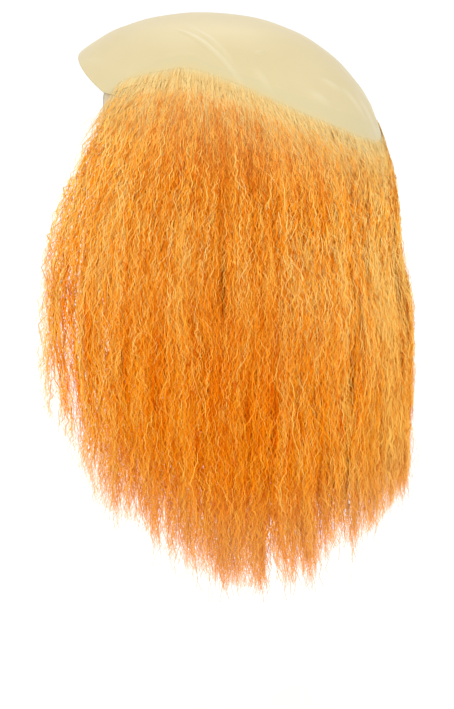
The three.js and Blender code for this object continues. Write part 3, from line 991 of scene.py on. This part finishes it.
def grow_frizz(name, node, span, strands, points, width, kink, seed, lengths,
               loose=1.0, together=1.0, off=0.0):
    """Short lengths on the surface. off is how far, in mm, they leave it."""
    rng = np.random.default_rng(seed)
    angle = scatter(rng, *span, strands)
    top, hem = row_height(0, angle), height_at(HEM, angle + lean(angle))
    root = top + (hem + 20 - top) * rng.random(strands) ** 0.9 * 0.92 - 3
    tip = np.maximum(root - rng.uniform(*lengths, strands), hem - 8)
    t = np.linspace(0, 1, points)
    layer = rng.uniform(0.55, 0.95, (strands, 1)) + 0.35 * np.sin(math.pi * t)
    path, outward, across, down = fall(rng, 0, angle, root, tip, layer, points, kink, loose, together)
    path = path + outward * (rng.uniform(0, off, (strands, 1)) * t ** 1.4)[..., None]
    path = path + across * (rng.normal(size=(strands, 1)) * off * 1.4 * t ** 1.3)[..., None]
    sides = ribbon_sides(rng, outward, across, twist=0.7)
    build_hair(name, path, sides, taper(rng, strands, points, width),
               tone_of(rng, angle, FRIZZ_HIGHLIGHT_TONE, 0.2), down, HAIR, node)


# %% [markdown]
# The hairline row is split into parts round the head, so that no mesh grows too large to work
# with. Each part has its own seed, so the two sides differ.

# %% Grow the hairline row
LEFT, RIGHT = (61, 180), (180, 299)
# The base strands' deep tone is a painted shade inside the mass.
for seed, (side, span) in enumerate([("left", LEFT), ("right", RIGHT)], 20):
    grow_row(f"hairline_base_{side}", "hairline_hair", 0, span, strands=1800, points=45,
             width=0.6, kink=0.7, seed=seed, tone=0.16, layers=(0, 0.7))
THIRDS = [("left", (61, 137)), ("back", (137, 223)), ("right", (223, 299))]
for seed, (side, span) in enumerate(THIRDS, 30):
    grow_row(f"hairline_fill_{side}", "hairline_hair", 0, span, strands=1150, points=61,
             width=0.3, kink=0.65, seed=seed, tone=0.38, layers=(0.2, 1))
QUARTERS = [("left_front", (61, 112)), ("left_back", (112, 180)),
            ("right_back", (180, 248)), ("right_front", (248, 299))]
for seed, (side, span) in enumerate(QUARTERS, 40):
    grow_frizz(f"hairline_frizz_{side}", "hairline_hair", span, strands=2200, points=39,
               width=0.24, kink=0.55, seed=seed, lengths=(50, 100), loose=1.15)

# %% [markdown]
# ## The rows below, the roots and the flyaways
# The five lower rows fill the mass. They show only at the hem, at the front edges and from inside,
# so their strands are broad. The hairline is knotted by hand: single short hairs stand further up,
# fine and pale, almost flat on the latex. And some hairs fly away from the mass altogether.

# %% Grow the rest
LOWER_ROWS = [
    # node, span of angles, strands, points, width
    ("hair_2", (62, 298), 700, 41, 0.7),
    ("hair_3", (64, 296), 650, 37, 0.8),
    ("hair_4", (70, 290), 650, 33, 0.9),
    ("nape_hair_5", (118, 242), 500, 29, 0.9),
    ("nape_hair_6", (118, 242), 500, 27, 0.9),
]
# The lower rows' deep tone is a painted shade inside the mass.
for row, (node, span, strands, points, width) in enumerate(LOWER_ROWS, 1):
    grow_row(f"row_of_{node}", node, row, span, strands, points, width,
             kink=0.7, seed=50 + row, tone=0.2, together=0.3)

ROOT_WIDTH = 0.2


def grow_roots(name, strands, points, seed):
    """The knotted hairs at the hairline, from a little above it to a little below."""
    rng = np.random.default_rng(seed)
    angle = scatter(rng, 59, 301, strands)
    root = row_height(0, angle) + 6.5 - 15 * rng.random(strands) ** 0.75
    tip = root - rng.uniform(10, 28, strands)
    layer = rng.uniform(0, 0.5, strands)
    path, outward, across, _ = fall(rng, 0, angle, root, tip, layer, points, kink=0.4, loose=1.2)
    path = path + across * (rng.normal(size=(strands, 1)) * 4 * np.linspace(0, 1, points))[..., None]
    down = np.linspace(0, 0.2, points)[None, :] * np.ones((strands, 1))
    build_hair(name, path, ribbon_sides(rng, outward, across), taper(rng, strands, points, ROOT_WIDTH),
               rng.random(strands), down, ROOTS, None)


grow_roots("hairline_roots", strands=8500, points=9, seed=60)
grow_frizz("flyaway_hair", None, (61, 299), strands=1300, points=23, width=0.24, kink=0.4,
           seed=61, lengths=(25, 80), loose=2.0, together=0.3, off=5.0)

# %% [markdown]
# ## Camera, floor and light
# The camera looks at the wearer's left side, a little from behind and from above, from far enough
# away that the near and far sides are almost the same size. The light is a bright, even studio.

# %% Studio
AZIMUTH, ELEVATION = 100.0, 14.0
CAMERA_DISTANCE = 1.9
VIEW_HEIGHT = 0.3864
AIM_RIGHT, AIM_UP = 0.0114, -0.0869
SENSOR_HEIGHT = 24
FLOOR = -0.30
FLOOR_SIZE = 12
DAYLIGHT = 1.05


def towards(azimuth, elevation):
    a, e = math.radians(azimuth), math.radians(elevation)
    return Vector((math.sin(a) * math.cos(e), -math.cos(a) * math.cos(e), math.sin(e)))


back = towards(AZIMUTH, ELEVATION)
right = Vector((math.cos(math.radians(AZIMUTH)), math.sin(math.radians(AZIMUTH)), 0))
up = back.cross(right)
camera = bpy.data.objects.new("camera", bpy.data.cameras.new("camera"))
scene.collection.objects.link(camera)
camera.location = back * CAMERA_DISTANCE
aim = right * AIM_RIGHT + up * AIM_UP
camera.rotation_euler = (aim - camera.location).to_track_quat("-Z", "Y").to_euler()
camera.data.sensor_fit = "VERTICAL"
camera.data.sensor_height = SENSOR_HEIGHT
camera.data.lens = SENSOR_HEIGHT / (VIEW_HEIGHT / CAMERA_DISTANCE)
scene.camera = camera

bpy.ops.object.select_all(action="DESELECT")
bpy.ops.mesh.primitive_plane_add(size=FLOOR_SIZE, location=(0, 0, FLOOR))
floor = bpy.context.object
floor.name = "floor"
paper, _, paper_shader = new_material("studio paper", 0.9)
paper_shader.inputs["Base Color"].default_value = (0.96, 0.96, 0.96, 1)
floor.data.materials.append(paper)

world = bpy.data.worlds.new("studio")
scene.world = world
world.use_nodes = True
daylight = world.node_tree.nodes["Background"]
daylight.inputs["Color"].default_value = (1, 1, 1, 1)
daylight.inputs["Strength"].default_value = DAYLIGHT


def softbox(name, azimuth, elevation, distance, size, power):
    """A square lamp that points at the wig."""
    light = bpy.data.objects.new(name, bpy.data.lights.new(name, "AREA"))
    light.data.size = size
    light.data.energy = power
    scene.collection.objects.link(light)
    light.location = towards(azimuth, elevation) * distance
    light.rotation_euler = (-light.location).to_track_quat("-Z", "Y").to_euler()


softbox("key", azimuth=70, elevation=35, distance=1.6, size=0.7, power=9)
softbox("fill", azimuth=160, elevation=20, distance=1.8, size=1.0, power=6)
softbox("rim", azimuth=280, elevation=50, distance=1.6, size=0.8, power=3)
